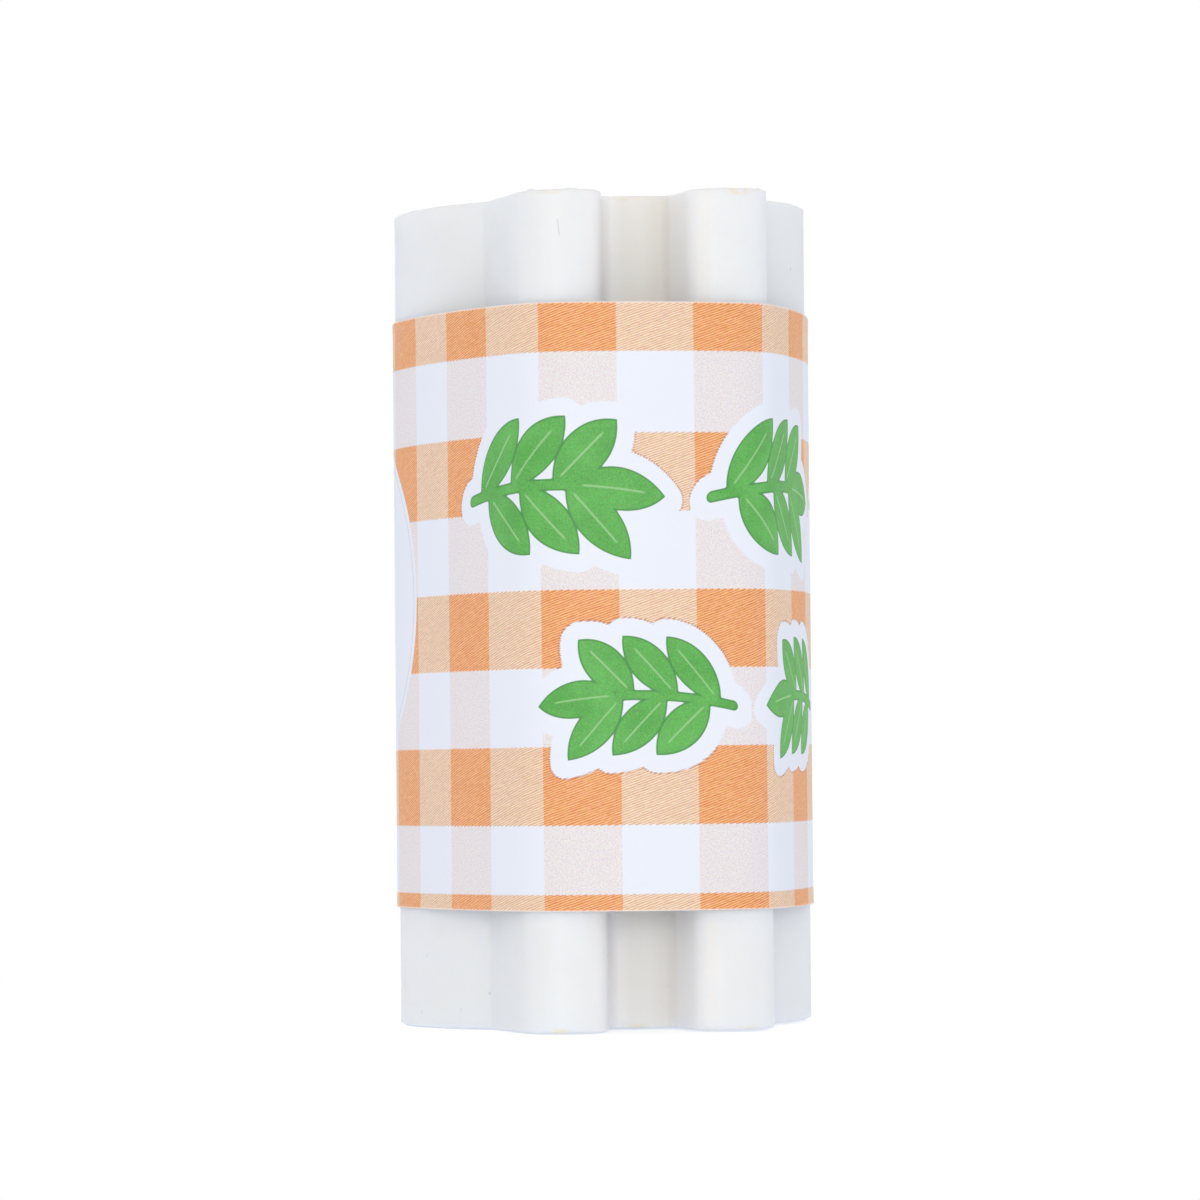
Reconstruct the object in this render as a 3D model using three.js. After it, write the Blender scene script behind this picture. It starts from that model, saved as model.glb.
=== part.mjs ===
// Rabbit eraser: a bar of white vinyl extruded in the outline of a rabbit's head, with its two ears,
// inside a band of printed paper that slides along it.
// Millimetres, +Z along the bar. The origin is on the base, at the centre of the round head,
// and the ears point along -Y.

import * as THREE from "three";

const { degToRad } = THREE.MathUtils;

// Vinyl bar
const barLength = 60;
const headRadius = 15.22;
const earReach = 21.1; // from the centre of the head to the ear tips
const earSpacing = 12.03; // between the centre lines of the two ears
const earTipWidth = 5.34; // between an ear's flanks, carried on to the plane of the tips
const earFlankLean = degToRad(9.1); // each flank leans in towards the tip by this much
const earOuterTipRadius = 3; // on the corner of the tip that faces away from the other ear
const earInnerTipRadius = 2.1;
const earTipLeastFlat = 0.02; // share of an ear's tip that its rounded corners always leave flat
const earRootRadius = 0.8;
const cutEdgeRadius = 0.25; // the softened edge round each cut end

// Paper sleeve
const sleeveHeight = 43.15;
const sleeveBottom = 8.7; // from the bar's base to the lower edge of the paper
const paperThickness = 0.15;
const sleeveClearance = 0.08; // between the paper and the vinyl that it grips
const foldInset = 1.2; // from an ear's centre line in to the centre of the paper's fold over it
const shoulderEase = 0.85; // how much wider than the ear's tip that fold is
const frontBow = 0.4; // how far the paper bows out between the ears, past its two folds
const flankRadius = 50; // of the paper's long flat curve from an ear's tip to the cheek
const lapLength = 9; // overlap of the glued seam down the back
const lapClimb = 1.5; // stretch over which the upper layer comes down off the lower one's edge

// Smoothness of the curves
const facetDepth = 0.004; // how far a facet may cut inside the true curve
const climbSteps = 6;
const cutEdgeSteps = 3;

const vinylMaterial = new THREE.MeshStandardMaterial({ color: 0xf1f1f2, roughness: 0.55, metalness: 0 });
const paperMaterial = new THREE.MeshStandardMaterial({ color: 0xf3cdb0, roughness: 0.62, metalness: 0 });

const front = -Math.PI / 2;
const back = Math.PI / 2;
const headCentre = new THREE.Vector2(0, 0);
const earCentreX = earSpacing / 2;

const directionAt = (angle) => new THREE.Vector2(Math.cos(angle), Math.sin(angle));
const onCircle = (centre, radius, angle) => directionAt(angle).multiplyScalar(radius).add(centre);

// Points along an arc from one angle to another, both ends included, in whichever direction that goes.
function arcPoints(centre, radius, from, to) {
  const step = 2 * Math.acos(1 - facetDepth / radius);
  const count = Math.max(2, Math.ceil(Math.abs(to - from) / step));
  return Array.from({ length: count + 1 }, (_, i) =>
    onCircle(centre, radius, from + ((to - from) * i) / count),
  );
}

// A corner arc of an ear's tip, tangent to the flank and to the flat of the tip. side is 1 on the flank that
// faces away from the other ear, and -1 on the one that faces it. The corner is never rounder than its half
// of the tip allows.
const cornerTurn = Math.PI / 2 - earFlankLean;
function tipCorner(side, wantedRadius) {
  const reachPerRadius = Math.tan(cornerTurn / 2); // from the sharp corner to the arc's end
  const roundest = ((1 - earTipLeastFlat) * earTipWidth) / 2 / reachPerRadius;
  const radius = Math.min(wantedRadius, roundest);
  const offset = earTipWidth / 2 - radius * reachPerRadius; // from the ear's centre line
  return { radius, centre: new THREE.Vector2(earCentreX + side * offset, radius - earReach) };
}
const outerCorner = tipCorner(1, earOuterTipRadius);
const innerCorner = tipCorner(-1, earInnerTipRadius);

// The fillet between one flank of an ear and the round of the head, with side as for a tip's corner.
function rootFillet(side) {
  const outward = directionAt(-earFlankLean).multiply(new THREE.Vector2(side, 1));
  const rearward = directionAt(back - earFlankLean).multiply(new THREE.Vector2(side, 1));
  const sharpCorner = new THREE.Vector2(earCentreX + (side * earTipWidth) / 2, -earReach);
  const start = sharpCorner.addScaledVector(outward, earRootRadius);
  const along = start.dot(rearward);
  const reach = headRadius + earRootRadius;
  const travel = -along - Math.sqrt(along * along - start.lengthSq() + reach * reach);
  const centre = start.addScaledVector(rearward, travel);
  return {
    centre,
    flankAngle: outward.negate().angle(),
    headAngle: centre.clone().negate().angle(),
    headSide: Math.atan2(centre.y, centre.x),
  };
}

// One half of the bar's outline, on +X, from the crown between the ears round to the back of the head.
// The straight flanks and the flat of the tip join the arcs' ends.
function halfHead() {
  const inner = rootFillet(-1);
  const outer = rootFillet(1);
  return [
    ...arcPoints(headCentre, headRadius, front, inner.headSide),
    ...arcPoints(inner.centre, earRootRadius, inner.headAngle, inner.flankAngle).slice(1),
    ...arcPoints(innerCorner.centre, innerCorner.radius, front - cornerTurn, front),
    ...arcPoints(outerCorner.centre, outerCorner.radius, front, front + cornerTurn),
    ...arcPoints(outer.centre, earRootRadius, outer.flankAngle, outer.headAngle),
    ...arcPoints(headCentre, headRadius, outer.headSide, back).slice(1),
  ];
}

// Closes a half outline on +X with its mirror image. The half starts and ends on the plane of symmetry.
function mirrored(half) {
  const other = half.slice(1, -1).map((p) => new THREE.Vector2(-p.x, p.y));
  return [...half, ...other.reverse()];
}

function makeBar() {
  const shape = new THREE.Shape(mirrored(halfHead()));
  const geometry = new THREE.ExtrudeGeometry(shape, {
    depth: barLength - 2 * cutEdgeRadius,
    bevelEnabled: true,
    bevelThickness: cutEdgeRadius,
    bevelSize: cutEdgeRadius,
    bevelOffset: -cutEdgeRadius,
    bevelSegments: cutEdgeSteps,
  });
  const bar = new THREE.Mesh(geometry, vinylMaterial);
  bar.name = "eraser_bar";
  bar.position.z = cutEdgeRadius;
  return bar;
}

// The way that the paper takes round the bar, on its inner face: a shallow bow across the ears, a fold that
// rests on a corner of each ear's tip, a long flat curve from there to the cheek, and the round of the head.
// Each stretch is tangent to the next.
const foldX = earCentreX - foldInset;
const corners = [outerCorner, innerCorner];
const tipSpan = Math.max(...corners.map(({ centre, radius }) => Math.abs(centre.x - foldX) + radius));
const restingRadius = tipSpan + shoulderEase; // of the circle that rests on a corner
const restingY = ({ centre, radius }) =>
  centre.y + Math.sqrt((restingRadius - radius) ** 2 - (centre.x - foldX) ** 2);
const foldCentre = new THREE.Vector2(foldX, Math.min(...corners.map(restingY)));
const foldRadius = restingRadius + sleeveClearance;
const wrapRadius = headRadius + sleeveClearance;
const bowRadius = foldRadius + (foldX ** 2 / frontBow + frontBow) / 2;
const bowCentre = new THREE.Vector2(0, foldCentre.y - foldRadius - frontBow + bowRadius);
const foldAngle = Math.atan2(foldCentre.y - bowCentre.y, foldCentre.x);
const flankCentre = circleRound(foldCentre, foldRadius, wrapRadius, flankRadius);
const shoulderAngle = Math.atan2(foldCentre.y - flankCentre.y, foldCentre.x - flankCentre.x);
const cheekAngle = Math.atan2(-flankCentre.y, -flankCentre.x);

// The centre of a large circle that touches two smaller ones from outside, on their +X side: one round a
// given centre, and one round the centre of the head.
function circleRound(centre, radius, headCircleRadius, largeRadius) {
  const toCentre = largeRadius - radius;
  const toHead = largeRadius - headCircleRadius;
  const apart = centre.length();
  const along = (toHead ** 2 - toCentre ** 2 + apart ** 2) / (2 * apart);
  const direction = centre.clone().normalize();
  const aside = new THREE.Vector2(direction.y, -direction.x);
  return direction.multiplyScalar(along).addScaledVector(aside, Math.sqrt(toHead ** 2 - along ** 2));
}

// The seam down the back: the lower layer starts at startAngle, and the upper one ends at flapAngle.
const startAngle = back - lapLength / 2 / wrapRadius;
const flapAngle = back + lapLength / 2 / wrapRadius;
const climbAngle = startAngle - lapClimb / wrapRadius;

// The upper layer's slope up over the lower one's edge.
function climbPoints(radius) {
  return Array.from({ length: climbSteps + 1 }, (_, i) => {
    const share = i / climbSteps;
    const lift = paperThickness * THREE.MathUtils.smoothstep(share, 0, 1);
    return onCircle(headCentre, radius + lift, THREE.MathUtils.lerp(climbAngle, startAngle, share));
  });
}

// One face of the paper as a closed outline. depth is how far it lies out from the inner face, and lapLift
// is how much further out it lies between the seam's two edges.
function paperFace(depth, lapLift) {
  const radius = wrapRadius + depth;
  const acrossEars = [
    ...arcPoints(bowCentre, bowRadius + depth, front, foldAngle),
    ...arcPoints(foldCentre, foldRadius + depth, foldAngle, shoulderAngle).slice(1),
    ...arcPoints(flankCentre, flankRadius + depth, shoulderAngle, cheekAngle).slice(1),
  ];
  const roundHead = [
    ...arcPoints(headCentre, radius, cheekAngle, climbAngle),
    ...climbPoints(radius).slice(1),
    ...arcPoints(headCentre, radius + lapLift, startAngle, flapAngle),
    ...arcPoints(headCentre, radius, flapAngle, Math.PI - cheekAngle),
  ];
  const otherEar = acrossEars.slice(1).map((p) => new THREE.Vector2(-p.x, p.y));
  return withoutRepeats([...acrossEars, ...roundHead, ...otherEar.reverse()]);
}

// Drops each point that repeats the one before it.
function withoutRepeats(points) {
  return points.filter((p, i) => i === 0 || p.distanceTo(points[i - 1]) > facetDepth);
}

function makeSleeve() {
  const shape = new THREE.Shape(paperFace(paperThickness, paperThickness));
  shape.holes.push(new THREE.Path(paperFace(0, 0)));
  const geometry = new THREE.ExtrudeGeometry(shape, { depth: sleeveHeight, bevelEnabled: false });
  const sleeve = new THREE.Mesh(geometry, paperMaterial);
  sleeve.name = "paper_sleeve";
  sleeve.position.z = sleeveBottom;
  return sleeve;
}

const eraser = new THREE.Group();
eraser.add(makeBar(), makeSleeve());

export default eraser;
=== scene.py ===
# Rabbit eraser: a bar of white vinyl in a sleeve of printed paper, standing on a white studio table.
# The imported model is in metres, and so is every Blender object. The sizes in the dictionaries are in
# millimetres, as they were measured. +Z runs up the bar, and the ears point along -Y, to the camera.
import math

import bmesh
import bpy
from mathutils import Matrix, Vector


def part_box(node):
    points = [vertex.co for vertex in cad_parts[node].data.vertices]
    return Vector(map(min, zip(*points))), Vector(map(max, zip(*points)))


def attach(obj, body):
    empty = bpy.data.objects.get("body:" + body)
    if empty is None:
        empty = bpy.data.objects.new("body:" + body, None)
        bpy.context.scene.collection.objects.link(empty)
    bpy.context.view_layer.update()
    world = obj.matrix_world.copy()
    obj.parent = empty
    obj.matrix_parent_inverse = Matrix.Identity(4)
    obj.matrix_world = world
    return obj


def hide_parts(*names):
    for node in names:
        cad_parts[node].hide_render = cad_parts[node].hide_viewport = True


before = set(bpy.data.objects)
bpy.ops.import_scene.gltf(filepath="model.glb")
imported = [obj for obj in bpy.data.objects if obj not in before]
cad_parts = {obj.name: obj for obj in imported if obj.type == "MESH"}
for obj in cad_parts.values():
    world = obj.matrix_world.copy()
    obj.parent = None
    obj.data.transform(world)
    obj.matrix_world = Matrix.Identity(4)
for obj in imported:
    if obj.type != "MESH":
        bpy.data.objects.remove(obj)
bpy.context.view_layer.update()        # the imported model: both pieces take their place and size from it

mm = 0.001
front = -math.pi / 2
back = math.pi / 2
mergeDistance = 0.002 * mm  # points closer than this become one
barLow, barHigh = (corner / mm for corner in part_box("eraser_bar"))
sleeveLow, sleeveHigh = (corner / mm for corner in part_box("paper_sleeve"))


# Small helpers for building node trees

def feed(socket, value):  # links a socket, or sets a plain value
    if isinstance(value, bpy.types.NodeSocket):
        socket.id_data.links.new(value, socket)
    elif value is not None:
        socket.default_value = value


def addNode(tree, kind, *values, **settings):
    node = tree.nodes.new(kind)
    for name, value in settings.items():
        setattr(node, name, value)
    for socket, value in zip(node.inputs, values):
        feed(socket, value)
    return node


def follow(kind, *values, **settings):  # adds a node to the tree that its values come from
    tree = next(value.id_data for value in values if isinstance(value, bpy.types.NodeSocket))
    return addNode(tree, kind, *values, **settings)


def calc(operation, *values):
    return follow("ShaderNodeMath", *values, operation=operation).outputs[0]


def times(value, *factors):
    for factor in factors:
        value = calc("MULTIPLY", value, factor)
    return value


def plus(value, *added):
    for number in added:
        value = calc("ADD", value, number)
    return value


def minus(value, taken):
    return calc("SUBTRACT", value, taken)


def vectorCalc(operation, *values):
    return follow("ShaderNodeVectorMath", *values, operation=operation).outputs[0]


def scaled(vector, amount):
    node = follow("ShaderNodeVectorMath", vector, operation="SCALE")
    feed(node.inputs["Scale"], amount)
    return node.outputs[0]


def lengthOf(vector):
    return follow("ShaderNodeVectorMath", vector, operation="LENGTH").outputs["Value"]


def parts(vector):
    return follow("ShaderNodeSeparateXYZ", vector).outputs


def joined(x, y, z=0.0):
    return follow("ShaderNodeCombineXYZ", x, y, z).outputs[0]


def movedUp(place, rise):
    return vectorCalc("ADD", place, joined(0.0, 0.0, rise))


def fade(value, start, end, low=0.0, high=1.0):  # a soft step from low at start to high at end
    node = follow("ShaderNodeMapRange", value, start, end, low, high)
    node.interpolation_type = "SMOOTHSTEP"
    return node.outputs[0]


def within(distance, reach, softness=0.03):  # 1 nearer than reach, and 0 beyond it
    return fade(distance, reach + softness, reach - softness)


def noise(place, size, detail=2.0, seed=0.0):  # soft blotches about as large as size, from 0 to 1
    node = follow("ShaderNodeTexNoise", place, noise_dimensions="4D")
    feed(node.inputs["W"], seed)
    feed(node.inputs["Scale"], 1 / size)
    feed(node.inputs["Detail"], detail)
    return node.outputs[0]


def mixValue(share, under, over):
    return follow("ShaderNodeMix", share, None, under, over, data_type="FLOAT").outputs[0]


def mixColour(share, under, over, blend="MIX"):
    between = [None] * 5  # the node's sockets for other kinds of value
    node = follow("ShaderNodeMix", share, *between, under, over, data_type="RGBA", blend_type=blend)
    return node.outputs[2]


def colour(red, green, blue):  # from the 0 to 255 of a colour picker
    def linear(value):
        value /= 255
        return value / 12.92 if value <= 0.04045 else ((value + 0.055) / 1.055) ** 2.4
    return (linear(red), linear(green), linear(blue), 1.0)


def newGroup(name, kind, inputs, outputs):  # with the names of its sockets listed under their type
    tree = bpy.data.node_groups.new(name, kind)
    for side, sockets in ("INPUT", inputs), ("OUTPUT", outputs):
        for socketType, labels in sockets.items():
            for label in labels:
                tree.interface.new_socket(name=label, in_out=side, socket_type="NodeSocket" + socketType)
    inside = tree.nodes.new("NodeGroupInput").outputs
    outside = tree.nodes.new("NodeGroupOutput").inputs
    return tree, inside, outside


def placeGroup(tree, group, **values):
    node = tree.nodes.new("ShaderNodeGroup")
    node.node_tree = group
    for label, value in values.items():
        feed(node.inputs[label], value)
    return node.outputs


# Small helpers for the trees that make a mesh

def stored(geometry, name, value, kind="FLOAT_VECTOR"):
    node = follow("GeometryNodeStoreNamedAttribute", geometry, None, name, value, data_type=kind)
    return node.outputs[0]


def recalled(tree, name, kind="FLOAT_VECTOR"):
    return addNode(tree, "GeometryNodeInputNamedAttribute", name, data_type=kind).outputs[0]


def withMaterial(geometry, faces, material):
    return follow("GeometryNodeSetMaterial", geometry, faces, material).outputs[0]


def merged(geometry):  # without doubled points and without instances
    joints = follow("GeometryNodeMergeByDistance", geometry)
    feed(joints.inputs["Distance"], mergeDistance)
    return follow("GeometryNodeRealizeInstances", joints.outputs[0]).outputs[0]


def intoScene(name, data):
    item = bpy.data.objects.new(name, data)
    bpy.context.scene.collection.objects.link(item)
    return item


# Outlines in plan, as lists of points in millimetres

def pointOnCircle(centre, radius, angle):
    return centre + radius * Vector((math.cos(angle), math.sin(angle)))


def arc(centre, radius, start, end, spacing):
    count = max(4, math.ceil(abs(end - start) * radius / spacing))
    return [pointOnCircle(centre, radius, start + (end - start) * i / count) for i in range(count + 1)]


def mirroredPoints(points):
    return [Vector((-point.x, point.y)) for point in reversed(points)]


def withStraightsFilled(points, spacing, closed):  # with points on the straight runs, and no repeats
    following = points[1:] + points[:1] if closed else points[1:]
    filled = []
    for start, end in zip(points, following):
        count = round((end - start).length / spacing) if (end - start).length > 1.5 * spacing else 1
        if (end - start).length > spacing / 50:
            filled += [start.lerp(end, i / count) for i in range(count)]
    return filled if closed else filled + [points[-1]]


def outwardDirections(points, closed):
    count = len(points)
    directions = []
    for i in range(count):
        before = points[i - 1] if closed or i > 0 else points[i]
        after = points[(i + 1) % count] if closed or i < count - 1 else points[i]
        along = (after - before).normalized()
        directions.append(Vector((along.y, -along.x)))
    return directions


def planMesh(name, points, closed, **values):  # the plan as a chain of edges, with a value on each point
    count = len(points)
    edges = [(i, (i + 1) % count) for i in range(count if closed else count - 1)]
    mesh = bpy.data.meshes.new(name)
    mesh.from_pydata([(point.x * mm, point.y * mm, 0) for point in points], edges, [])
    directions = mesh.attributes.new("outward", "FLOAT_VECTOR", "POINT")
    for i, direction in enumerate(outwardDirections(points, closed)):
        directions.data[i].vector = (direction.x, direction.y, 0)
    for label, numbers in values.items():
        attribute = mesh.attributes.new(label, "FLOAT", "POINT")
        for i, number in enumerate(numbers):
            attribute.data[i].value = number
    return mesh


# The vinyl bar

bar = {
    "headRadius": barHigh.x,
    "earReach": -barLow.y,  # from the head's centre to the ears' tips
    "length": barHigh.z,
    "earSpacing": 12.03,
    "earTipWidth": 5.34,
    "earFlankLean": math.radians(9.1),
    "earOuterTipRadius": 3.0,
    "earInnerTipRadius": 2.1,
    "earRootRadius": 0.8,
    "cutEdgeRadius": 0.22,
    "wearSize": 2.2,  # length of the stretches over which that radius changes
    "cutRipple": 0.05,  # depth of the waves that the knife leaves
    "rippleSize": 2.6,
    "knifeStretch": 0.15,  # those waves run across the bar: their noise is stretched along X by this
    "cutReach": 1.0,  # how far down the sides they carry on
    "burrHeight": 0.12,
    "burrSize": 0.9,
    "burrChance": (0.66, 0.76),  # the noise at which a burr starts, and where it is full
    "burrFoot": 0.3,  # how far down the sides it reaches
    "swell": 0.05,  # depth of the slow hollows in the extruded sides
    "swellSize": 9.0,
    "swellStart": 1.5,  # they are full from this far down
    "topSlant": 0.0125,  # the knife's cuts aren't quite square: the rise per millimetre to the right
    "baseSlant": 0.006,
    "pointSpacing": 0.42,
    "faceRings": 22,
    "faceCentre": 8.0,  # how far behind the head's centre the rings of a cut face start
    "faceCrowding": 1.6,  # over 1, they lie closer together towards the edge
    "wallRings": 150,
    "wallCrowding": 0.2,  # how close the first rings of the sides lie, where 1 is even
    "seed": 4.0,
}


def tipCorner(side, radius):  # side is 1 on an ear's outer flank, and -1 on its inner one
    turn = back - bar["earFlankLean"]
    offset = bar["earTipWidth"] / 2 - radius * math.tan(turn / 2)
    return Vector((bar["earSpacing"] / 2 + side * offset, radius - bar["earReach"])), radius


def rootFillet(side):
    lean = bar["earFlankLean"]
    outward = Vector((side * math.cos(lean), -math.sin(lean)))
    rearward = Vector((side * math.sin(lean), math.cos(lean)))
    sharpCorner = Vector(((bar["earSpacing"] + side * bar["earTipWidth"]) / 2, -bar["earReach"]))
    start = sharpCorner + outward * bar["earRootRadius"]
    along = start.dot(rearward)
    reach = bar["headRadius"] + bar["earRootRadius"]
    centre = start + rearward * (-along - math.sqrt(along ** 2 - start.length_squared + reach ** 2))
    flankAngle = math.atan2(-outward.y, -outward.x)
    headAngle = math.atan2(-centre.y, -centre.x)
    headSide = math.atan2(centre.y, centre.x)
    return centre, flankAngle % (2 * math.pi), headAngle % (2 * math.pi), headSide


def barOutline():
    middle = Vector((0, 0))
    spacing = bar["pointSpacing"]
    fine = spacing / 2
    root = bar["earRootRadius"]
    turn = back - bar["earFlankLean"]
    innerFillet, flankLight, innerHead, innerSide = rootFillet(-1)
    outerFillet, outerFlank, outerHead, outerSide = rootFillet(1)
    innerTip, innerRadius = tipCorner(-1, bar["earInnerTipRadius"])
    outerTip, outerRadius = tipCorner(1, bar["earOuterTipRadius"])
    half = [
        *arc(middle, bar["headRadius"], front, innerSide, spacing),
        *arc(innerFillet, root, innerHead, flankLight, fine),
        *arc(innerTip, innerRadius, front - turn, front, fine),
        *arc(outerTip, outerRadius, front, front + turn, fine),
        *arc(outerFillet, root, outerFlank, outerHead, fine),
        *arc(middle, bar["headRadius"], outerSide, back, spacing),
    ]
    return withStraightsFilled(half + mirroredPoints(half), spacing, closed=True)


def barTree():
    inputs = {
        "Geometry": ["Outline"],
        "Float": ["Length", "Cut Edge Radius", "Cut Ripple", "Burr Height", "Swell", "Top Slant",
                  "Base Slant", "Half Width", "Face Centre", "Seed"],
        "Int": ["Face Rings", "Wall Rings"],
        "Material": ["Material"],
    }
    outputs = {"Geometry": ["Geometry"]}
    tree, inside, outside = newGroup("eraserBarShape", "GeometryNodeTree", inputs, outputs)

    # The outline is swept into a tube of rings, and each ring then gets its size and height by its number
    position = addNode(tree, "GeometryNodeInputPosition").outputs[0]
    number = addNode(tree, "GeometryNodeInputIndex").outputs[0]
    outline = stored(inside["Outline"], "place", position)
    outlineCurve = addNode(tree, "GeometryNodeMeshToCurve", outline)
    ringCount = plus(times(inside["Face Rings"], 2.0), inside["Wall Rings"])
    axis = addNode(tree, "GeometryNodeCurvePrimitiveLine")
    axisPoints = addNode(tree, "GeometryNodeResampleCurve", axis.outputs[0])
    feed(axisPoints.inputs["Count"], ringCount)
    numbered = stored(axisPoints.outputs[0], "ring", number, "FLOAT")
    tube = addNode(tree, "GeometryNodeCurveToMesh", numbered, outlineCurve.outputs[0])

    ring = recalled(tree, "ring", "FLOAT")
    place = recalled(tree, "place")
    outward = recalled(tree, "outward")
    lastRing = minus(ringCount, 1.0)
    fromEnd = calc("MINIMUM", ring, minus(lastRing, ring))
    atTop = calc("GREATER_THAN", ring, times(lastRing, 0.5))
    faceSteps = minus(inside["Face Rings"], 1.0)

    # On a cut face the rings grow from one point, closer together towards the edge
    faceShare = calc("MINIMUM", calc("DIVIDE", fromEnd, faceSteps), 1.0)
    size = calc("POWER", minus(1.0, faceShare), bar["faceCrowding"])
    size = minus(1.0, size)

    # On the sides they climb from the edge, and spread towards the middle of the bar
    wallSteps = times(inside["Wall Rings"], 0.5)
    wallNumber = calc("MAXIMUM", minus(fromEnd, faceSteps), 0.0)
    wallShare = calc("DIVIDE", wallNumber, plus(wallSteps, 0.5))
    crowding = bar["wallCrowding"]
    spread = plus(crowding, times(1 - crowding, wallShare))
    halfLength = times(inside["Length"], 0.5)
    height = times(halfLength, times(wallShare, spread))

    # The cut edge is rounded unevenly, with a burr here and there
    level = times(atTop, inside["Length"])
    aroundEdge = movedUp(place, level)
    worn = plus(0.5, noise(aroundEdge, bar["wearSize"] * mm, 2.0, inside["Seed"]))
    radius = times(inside["Cut Edge Radius"], worn)
    above = calc("MAXIMUM", minus(radius, height), 0.0)
    squares = minus(times(radius, radius), times(above, above))
    inset = minus(radius, calc("SQRT", squares))
    burrSeed = plus(inside["Seed"], 7.0)
    burr = noise(aroundEdge, bar["burrSize"] * mm, 1.0, burrSeed)
    burr = fade(burr, *bar["burrChance"])
    atEdge = times(fade(size, 0.975, 1.0), fade(height, bar["burrFoot"] * mm, 0.0))
    burrRise = times(inside["Burr Height"], times(burr, atEdge))
    burrRise = times(burrRise, atTop)  # at the base the bar's weight has flattened them

    # The knife leaves waves across the cut, and the extrusion has slow hollows along its sides
    faceCentre = joined(0.0, inside["Face Centre"], 0.0)
    fromCentre = vectorCalc("SUBTRACT", place, faceCentre)
    ringPlace = vectorCalc("ADD", scaled(fromCentre, size), faceCentre)
    acrossCut = movedUp(ringPlace, level)
    acrossCut = vectorCalc("MULTIPLY", acrossCut, (bar["knifeStretch"], 1.0, 1.0))
    ripple = noise(acrossCut, bar["rippleSize"] * mm, 2.0, inside["Seed"])
    cutDepth = times(inside["Cut Ripple"], ripple)
    alongSides = movedUp(aroundEdge, times(height, 0.3))  # the hollows are long
    hollow = noise(alongSides, bar["swellSize"] * mm, 1.5, inside["Seed"])
    hollow = times(inside["Swell"], hollow)
    onSide = fade(height, 0.0, bar["swellStart"] * mm)
    sunk = plus(inset, times(hollow, onSide))

    # Each point goes to its place, with the slants of the two cuts spread along the bar
    flatPlace = vectorCalc("SUBTRACT", ringPlace, scaled(outward, times(sunk, size)))
    cutFade = fade(height, bar["cutReach"] * mm, 0.0)
    reliefDepth = minus(times(cutDepth, cutFade), burrRise)
    fromCut = plus(height, reliefDepth)
    fromFarCut = calc("ABSOLUTE", minus(level, fromCut))
    fromBase = mixValue(atTop, fromCut, fromFarCut)
    across = parts(flatPlace)[0]
    share = calc("DIVIDE", fromBase, inside["Length"])
    topRise = times(across, inside["Top Slant"], share)
    fromLeft = plus(across, inside["Half Width"])
    baseRise = times(fromLeft, inside["Base Slant"], minus(1.0, share))
    slanted = plus(fromBase, plus(topRise, baseRise))
    finalPlace = movedUp(flatPlace, slanted)
    shaped = addNode(tree, "GeometryNodeSetPosition", tube.outputs[0], None, finalPlace)
    real = merged(shaped.outputs[0])
    feed(outside[0], withMaterial(real, None, inside["Material"]))
    return tree


def madeByNodes(name, plan, tree, values):  # runs the tree on the plan and keeps the mesh
    piece = intoScene(name, plan)
    modifier = piece.modifiers.new(tree.name, "NODES")
    modifier.node_group = tree
    for item in tree.interface.items_tree:
        if item.in_out == "INPUT" and item.name in values:
            modifier[item.identifier] = values[item.name]
    piece.update_tag()
    evaluated = piece.evaluated_get(bpy.context.evaluated_depsgraph_get())
    mesh = bpy.data.meshes.new_from_object(evaluated)
    piece.modifiers.clear()
    piece.data = mesh
    mesh.name = name
    facingOut(mesh)
    mesh.shade_smooth()
    mesh.set_sharp_from_angle(angle=math.radians(50))
    return piece


def facingOut(mesh):
    work = bmesh.new()
    work.from_mesh(mesh)
    bmesh.ops.recalc_face_normals(work, faces=work.faces)
    work.to_mesh(mesh)
    work.free()


def makeBar():
    plan = planMesh("barOutline", barOutline(), closed=True)
    piece = madeByNodes("vinyl_bar", plan, barTree(), {
        "Length": bar["length"] * mm,
        "Cut Edge Radius": bar["cutEdgeRadius"] * mm,
        "Cut Ripple": bar["cutRipple"] * mm,
        "Burr Height": bar["burrHeight"] * mm,
        "Swell": bar["swell"] * mm,
        "Top Slant": bar["topSlant"],
        "Base Slant": bar["baseSlant"],
        "Half Width": bar["headRadius"] * mm,
        "Face Centre": bar["faceCentre"] * mm,
        "Face Rings": bar["faceRings"],
        "Wall Rings": bar["wallRings"],
        "Seed": bar["seed"],
        "Material": vinylMaterial(),
    })
    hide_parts("eraser_bar")
    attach(piece, "bar")
    print("vinyl bar:", len(piece.data.vertices), "points")


# The paper sleeve

sleeve = {
    "bottom": sleeveLow.z,
    "height": sleeveHigh.z - sleeveLow.z,
    "layer": 0.15,  # room that each layer of paper takes
    "thickness": 0.12,
    "clearance": 0.03,
    "foldInset": 1.2,  # from an ear's centre line in to the centre of the paper's fold over it
    "shoulderEase": 0.85,
    "frontBow": 0.4,
    "flankRadius": 50.0,  # of the long flat curve from an ear's tip to the cheek
    "lapLength": 9.0,
    "lapClimb": 1.5,  # stretch over which the upper layer comes down off the lower one's edge
    "climbSteps": 8,
    "wave": 0.04,  # how far the paper stands off in slow waves
    "waveSize": 8.0,
    "flare": 0.05,  # how far its cut edges stand off
    "flareSize": 6.0,
    "flareReach": 1.6,  # how far in from the cut edge that starts
    "flapLift": 0.14,  # how far the seam's free edge has come up at its corners
    "flapReach": 2.6,
    "flapCorner": 7.0,  # height of those corners
    "flapMiddle": 0.35,  # share of that lift in the middle of the edge
    "pointSpacing": 0.42,
    "rows": 96,
    "seed": 11.0,
}


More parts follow.
